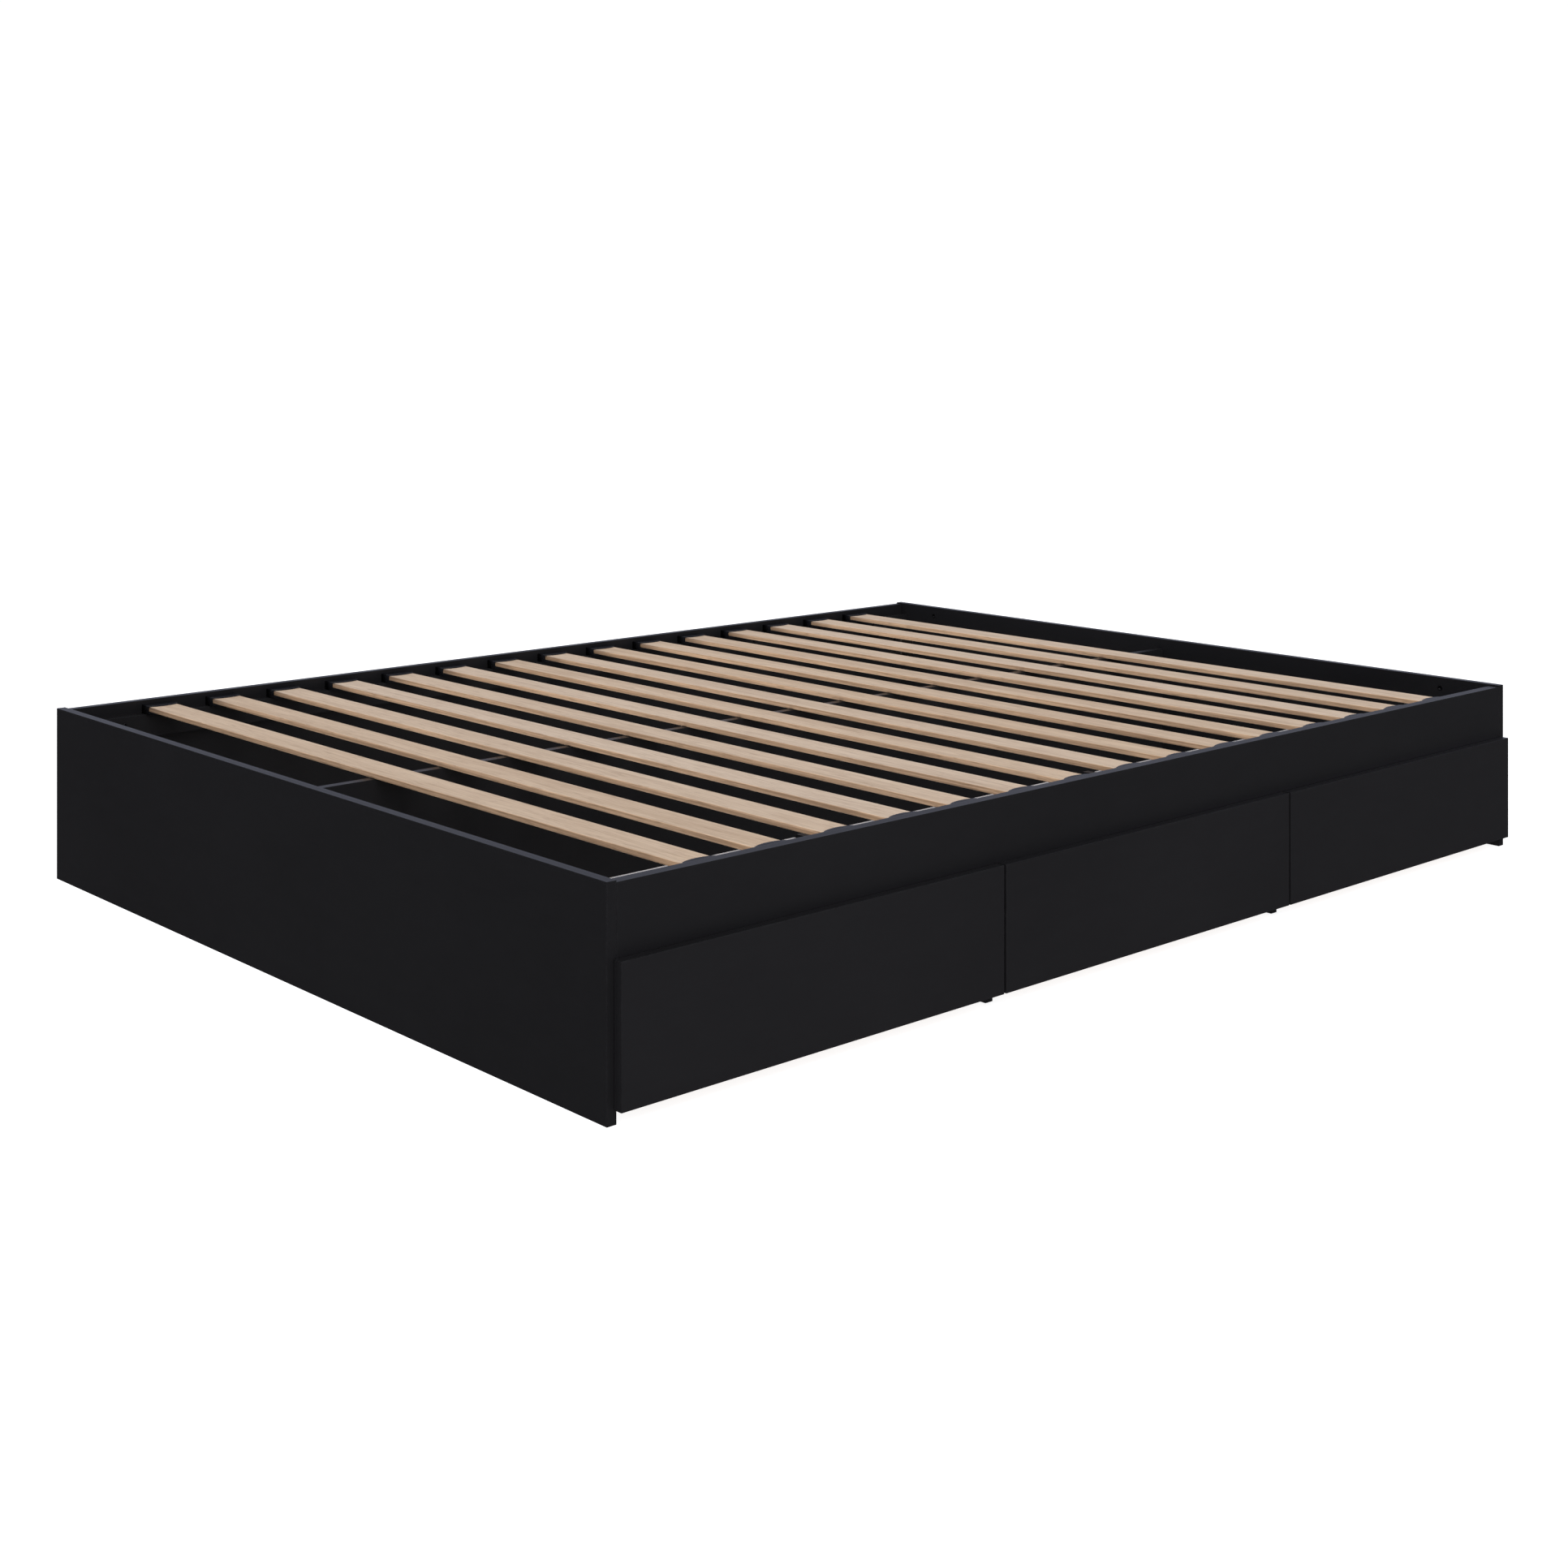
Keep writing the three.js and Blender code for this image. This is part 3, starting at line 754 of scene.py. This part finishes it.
def rounded_section(left, right, low, high, radius):
    """Points round a rounded rectangle, each with how far it is round to the side."""
    corners = [
        (right - radius, low + radius, -90),
        (right - radius, high - radius, 0),
        (left + radius, high - radius, 90),
        (left + radius, low + radius, 180),
    ]
    points = []
    for centre_x, centre_z, start in corners:
        for step in range(SLAT_CORNER_STEPS + 1):
            angle = math.radians(start + 90 * step / SLAT_CORNER_STEPS)
            out, up = math.cos(angle), math.sin(angle)
            side = min(1.0, max(0.0, 2.5 * out**2 - 0.75))
            points.append((centre_x + radius * out, centre_z + radius * up, side))
    return points


def make_slat(node, shade):
    low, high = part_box(node)
    section = rounded_section(low.x, high.x, low.z, high.z, SLAT_RADIUS)
    bm = bmesh.new()
    side = bm.verts.layers.float.new("side")
    tone = bm.verts.layers.float.new("tone")
    rings = []
    for station in range(SLAT_STATIONS + 1):
        y = low.y + (high.y - low.y) * station / SLAT_STATIONS
        ring = []
        for x, z, share in section:
            vert = bm.verts.new((x, y, z))
            vert[side] = share
            vert[tone] = shade
            ring.append(vert)
        rings.append(ring)
    for near, far in zip(rings, rings[1:]):
        for index in range(len(section)):
            after = (index + 1) % len(section)
            bm.faces.new((near[index], near[after], far[after], far[index]))
    bm.faces.new(rings[0])
    bm.faces.new(rings[-1])
    return place(finished(f"{node}_lath", bm, [slat_wood]), FRAME_BODY, "slat_wood", node)


def cap_plan():
    """The cap's outline from above, with its back on y = 0 and its curved edge towards +Y."""
    half, edge = CAP_WIDTH / 2, CAP_WIDTH / 2 - CAP_CORNER
    bulge = 2 * (CAP_REACH - CAP_SHOULDER)
    tangent = CAP_SHOULDER - bulge * CAP_CORNER / edge
    right = curve((half, CAP_SIDE_REACH), (half, tangent), (edge, CAP_SHOULDER), 6)
    middle = curve((edge, CAP_SHOULDER), (0, CAP_SHOULDER + bulge), (-edge, CAP_SHOULDER), 18)
    left = [(-x, y) for x, y in reversed(right)]
    return [(-half, 0), (half, 0)] + right + middle[1:-1] + left


def curve(start, control, end, steps):
    """Points along a quadratic curve."""
    points = []
    for step in range(steps + 1):
        t = step / steps
        first, second, third = (1 - t) ** 2, 2 * t * (1 - t), t * t
        points.append(tuple(first * a + second * b + third * c for a, b, c in zip(start, control, end)))
    return points


def cap_mesh(height, slat_low, slat_high):
    """One moulded slat cap at its own origin: back on y = 0, base on z = 0."""
    bm = bmesh.new()
    extrude(bm, add_outline(bm, [(x, y, 0) for x, y in cap_plan()]), Vector((0, 0, height)))
    rim = [
        edge
        for edge in bm.edges
        if all(vert.co.z > height - TINY for vert in edge.verts)
        and not all(vert.co.y < TINY for vert in edge.verts)
    ]
    bmesh.ops.bevel(bm, geom=rim, offset=CAP_RIM, segments=4, profile=0.5, affect="EDGES")
    cap = finished("cap_pattern", bm, [cap_plastic])
    pocket = bmesh.new()
    half = (slat_high.x - slat_low.x) / 2 + POCKET_CLEARANCE
    add_box(
        pocket,
        Vector((-half, POCKET_WALL, slat_low.z - POCKET_BELOW)),
        Vector((half, CAP_REACH + PAST, slat_high.z + POCKET_ABOVE)),
    )
    carve(cap, pocket)
    mesh = cap.data
    bpy.data.objects.remove(cap)
    return mesh


def make_slat_base():
    ledger_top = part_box("ledger_front")[1].z
    cap_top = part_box("slat_holders_front")[1].z
    walls = (("front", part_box("front_rail")[1].y, 0.0), ("back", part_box("side_panel")[0].y, math.pi))
    first_low, first_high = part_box(SLATS[0])
    lift = Vector((0, 0, ledger_top))
    mesh = cap_mesh(cap_top - ledger_top, first_low - lift, first_high - lift)
    for index, node in enumerate(SLATS):
        make_slat(node, SLAT_TONES[index % len(SLAT_TONES)])
        low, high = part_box(node)
        for side, wall, turn in walls:
            cap = bpy.data.objects.new(f"slat_cap_{side}_{node[5:]}", mesh)
            bpy.context.scene.collection.objects.link(cap)
            cap.location = ((low.x + high.x) / 2, wall, ledger_top)
            cap.rotation_euler = (0, 0, turn)
            weighted = cap.modifiers.new("weighted_normals", "WEIGHTED_NORMAL")
            weighted.keep_sharp = True
            place(cap, FRAME_BODY, "black_plastic", f"slat_holders_{side}")


# ---- drawers -----------------------------------------------------------------------------------


def groove_cutter(base_low, base_high):
    """The groove round a drawer bottom, as a box a little larger than the board in it."""
    bm = bmesh.new()
    air = Vector((GROOVE_AIR,) * 3)
    add_box(bm, base_low - air, base_high + air + Vector((0, PAST, 0)))
    return bm


def make_drawer(body):
    base_low, base_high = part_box(f"{body}_bottom")
    front = box_board(f"{body}_front", front_face, black_band)
    carve(front, groove_cutter(base_low, base_high))
    place(front, body, "drawer_front", f"{body}_front")
    for part in ("side_left", "side_right", "back"):
        piece = box_board(f"{body}_{part}", white_face, white_band, DRAWER_ARRIS)
        carve(piece, groove_cutter(base_low, base_high))
        place(piece, body, "drawer_board", f"{body}_{part}")
    outline = box_outline(base_low, base_high, 2)
    thickness = base_high.z - base_low.z
    bottom = board(f"{body}_bottom_panel", outline, 2, thickness, white_face, hardboard, BOTTOM_ARRIS)
    for face in bottom.data.polygons:
        if face.normal.z < -0.5:
            face.material_index = 1
    place(bottom, body, "drawer_board", f"{body}_bottom")
    make_drawer_fittings(body)


def make_drawer_fittings(body):
    """Cam locks that hold the front, screws in the back, and bumpers behind the front."""
    left_low, left_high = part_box(f"{body}_side_left")
    right_low, right_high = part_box(f"{body}_side_right")
    front_low, front_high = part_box(f"{body}_front")
    back_low, back_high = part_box(f"{body}_back")
    cams, screws, bumpers = [], [], []
    for height in DRAWER_CAM_HEIGHTS:
        y = front_high.y + CAM_INSET
        cams.append((Vector((left_high.x, y, height)), (1, 0, 0)))
        cams.append((Vector((right_low.x, y, height)), (-1, 0, 0)))
        for x in ((left_low.x + left_high.x) / 2, (right_low.x + right_high.x) / 2):
            screws.append((Vector((x, back_high.y - BACK_SCREW_SINK, height)), (0, 1, 0)))
    for x in (front_low.x + BUMPER_INSET, front_high.x - BUMPER_INSET):
        bumpers.append((Vector((x, front_high.y, front_high.z - BUMPER_DROP)), (0, 1, 0)))
    fasteners(f"{body}_cam_locks", body, "zinc_steel", cam_steel, cams, add_cam)
    fasteners(f"{body}_back_screws", body, "zinc_steel", cam_steel, screws, add_flush_screw)
    fasteners(f"{body}_bumpers", body, "black_plastic", bumper_rubber, bumpers, add_bumper)


def add_flush_screw(bm, origin, direction):
    """A countersunk screw head just proud of the board it closes."""
    radius = BACK_SCREW_RADIUS
    rim, top, floor = 0.7 * MM, 0.85 * MM, 0.2 * MM
    profile = [(0, 0), (radius, 0), (radius, rim), (radius * 0.9, top)]
    profile += [(radius * 0.3, top), (radius * 0.25, floor), (0, floor)]
    lathe(bm, profile, SMALL_STEPS, facing(origin, direction))


def add_bumper(bm, origin, direction):
    """A small soft dome behind the front, which takes the knock as the drawer closes."""
    angles = (0, 0.4, 0.8, 1.2)
    dome = [(BUMPER_RADIUS * math.cos(angle), BUMPER_HEIGHT * math.sin(angle)) for angle in angles]
    lathe(bm, [(0, 0)] + dome + [(0, BUMPER_HEIGHT)], SMALL_STEPS, facing(origin, direction))


def channel_section(reach, half):
    """A rolled channel's outline in (out from its web, up), with rounded bends."""
    outer, inner = [], []
    far, near = BEND + SHEET, BEND
    for step in range(CHANNEL_BEND_STEPS + 1):
        angle = math.pi / 2 * step / CHANNEL_BEND_STEPS
        out, down = 1 - math.cos(angle), 1 - math.sin(angle)
        outer.append((far * out, half - far * down))
        inner.append((SHEET + near * out, half - SHEET - near * down))
    upper = outer + [(reach, half), (reach, half - SHEET)] + inner[::-1]
    return upper + [(across, -up) for across, up in reversed(upper)]


def make_slide_member(node, body, open_way):
    """One channel of a slide, with its screws, standing for its CAD node."""
    low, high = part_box(node)
    middle, half = (low.z + high.z) / 2, (high.z - low.z) / 2
    web = low.x if open_way > 0 else high.x
    reach = high.x - low.x
    section = channel_section(reach, half)
    outline = [Vector((web + open_way * across, low.y, middle + up)) for across, up in section]
    bm = bmesh.new()
    extrude(bm, add_outline(bm, outline), Vector((0, high.y - low.y, 0)))
    for part in SLIDE_SCREW_PARTS:
        y = low.y + (high.y - low.y) * part
        seat = Vector((web + open_way * SHEET, y, middle))
        add_screw(bm, seat, (open_way, 0, 0), SLIDE_SCREW_RADIUS)
    place(finished(f"{node}_channel", bm, [slide_steel], smooth=False), body, "zinc_steel", node)


def make_slides():
    for index, body in enumerate(DRAWERS, start=1):
        for hand, open_way in (("left", 1), ("right", -1)):
            make_slide_member(f"slide_{index}_{hand}_cabinet", FRAME_BODY, open_way)
            make_slide_member(f"slide_{index}_{hand}_drawer", body, -open_way)


# ---- camera, floor and lights ------------------------------------------------------------------


def make_camera():
    """A level camera at the photo's place."""
    data = bpy.data.cameras.new("camera")
    data.lens = CAMERA_LENS
    data.sensor_width = CAMERA_SENSOR
    data.shift_y = CAMERA_RISE
    camera = bpy.data.objects.new("camera", data)
    bpy.context.scene.collection.objects.link(camera)
    camera.location = CAMERA_PLACE
    camera.rotation_euler = (math.radians(90), 0, math.radians(CAMERA_TURN))
    bpy.context.scene.camera = camera


def make_floor():
    """A plain floor that reads as white, with next to no shadow on it."""
    finish = Finish("studio_floor")
    grey = colour(FLOOR_GREY, FLOOR_GREY, FLOOR_GREY)
    finish.set(Base_Color=grey, Roughness=0.9, Specular_IOR_Level=0.0)
    finish.set(Emission_Color=colour(1, 1, 1), Emission_Strength=FLOOR_GLOW)
    bm = bmesh.new()
    reach = FLOOR_REACH
    add_outline(bm, [(-reach, -reach, 0), (reach, -reach, 0), (reach, reach, 0), (-reach, reach, 0)])
    floor = finished("studio_floor", bm, [finish.material], smooth=False)
    floor.visible_glossy = False


def make_world():
    """A white backdrop that lights the bed as a dim sky, bluish near the horizon."""
    world = bpy.data.worlds.new("studio")
    bpy.context.scene.world = world
    world.use_nodes = True
    tree = world.node_tree

    def add(kind, **settings):
        node = tree.nodes.new(kind)
        for key, value in settings.items():
            setattr(node, key, value)
        return node

    sky = tree.nodes["Background"]
    height = add("ShaderNodeSeparateXYZ")
    tree.links.new(add("ShaderNodeTexCoord").outputs["Generated"], height.inputs[0])
    bands = add("ShaderNodeValToRGB")
    tree.links.new(height.outputs["Z"], bands.inputs["Fac"])
    ramp = bands.color_ramp
    ramp.elements[0].position, ramp.elements[0].color = 0.0, SKY_BELOW
    ramp.elements[1].position, ramp.elements[1].color = 1.0, SKY_TOP
    for position, tint in SKY_STEPS:
        ramp.elements.new(position).color = tint
    tree.links.new(bands.outputs["Color"], sky.inputs["Color"])
    backdrop = add("ShaderNodeBackground")
    backdrop.inputs["Strength"].default_value = BACKDROP
    backdrop.inputs["Color"].default_value = (1, 1, 1, 1)
    choose = add("ShaderNodeMixShader")
    tree.links.new(add("ShaderNodeLightPath").outputs["Is Camera Ray"], choose.inputs["Fac"])
    tree.links.new(sky.outputs[0], choose.inputs[1])
    tree.links.new(backdrop.outputs[0], choose.inputs[2])
    tree.links.new(choose.outputs[0], tree.nodes["World Output"].inputs["Surface"])


def make_light(name, strength, spread, towards, tint):
    """A soft distant light. towards is the way that it shines."""
    data = bpy.data.lights.new(name, "SUN")
    data.energy = strength
    data.angle = math.radians(spread)
    data.color = tint
    lamp = bpy.data.objects.new(name, data)
    lamp.rotation_euler = Vector(towards).to_track_quat("-Z", "Y").to_euler()
    bpy.context.scene.collection.objects.link(lamp)


def make_lights():
    make_light("key", KEY, 60, KEY_TOWARDS, KEY_TINT)
    make_light("overhead", OVERHEAD, 80, OVERHEAD_TOWARDS, (1.0, 1.0, 1.0))


make_camera()
make_world()
make_lights()
make_floor()
make_frame_boards()
make_head_panel()
make_headboard_sleeves()
make_dividers()
make_brackets()
make_ledger_screws()
make_cam_covers()
make_slat_base()
for drawer in DRAWERS:
    make_drawer(drawer)
make_slides()

bpy.context.scene.view_settings.view_transform = "Standard"
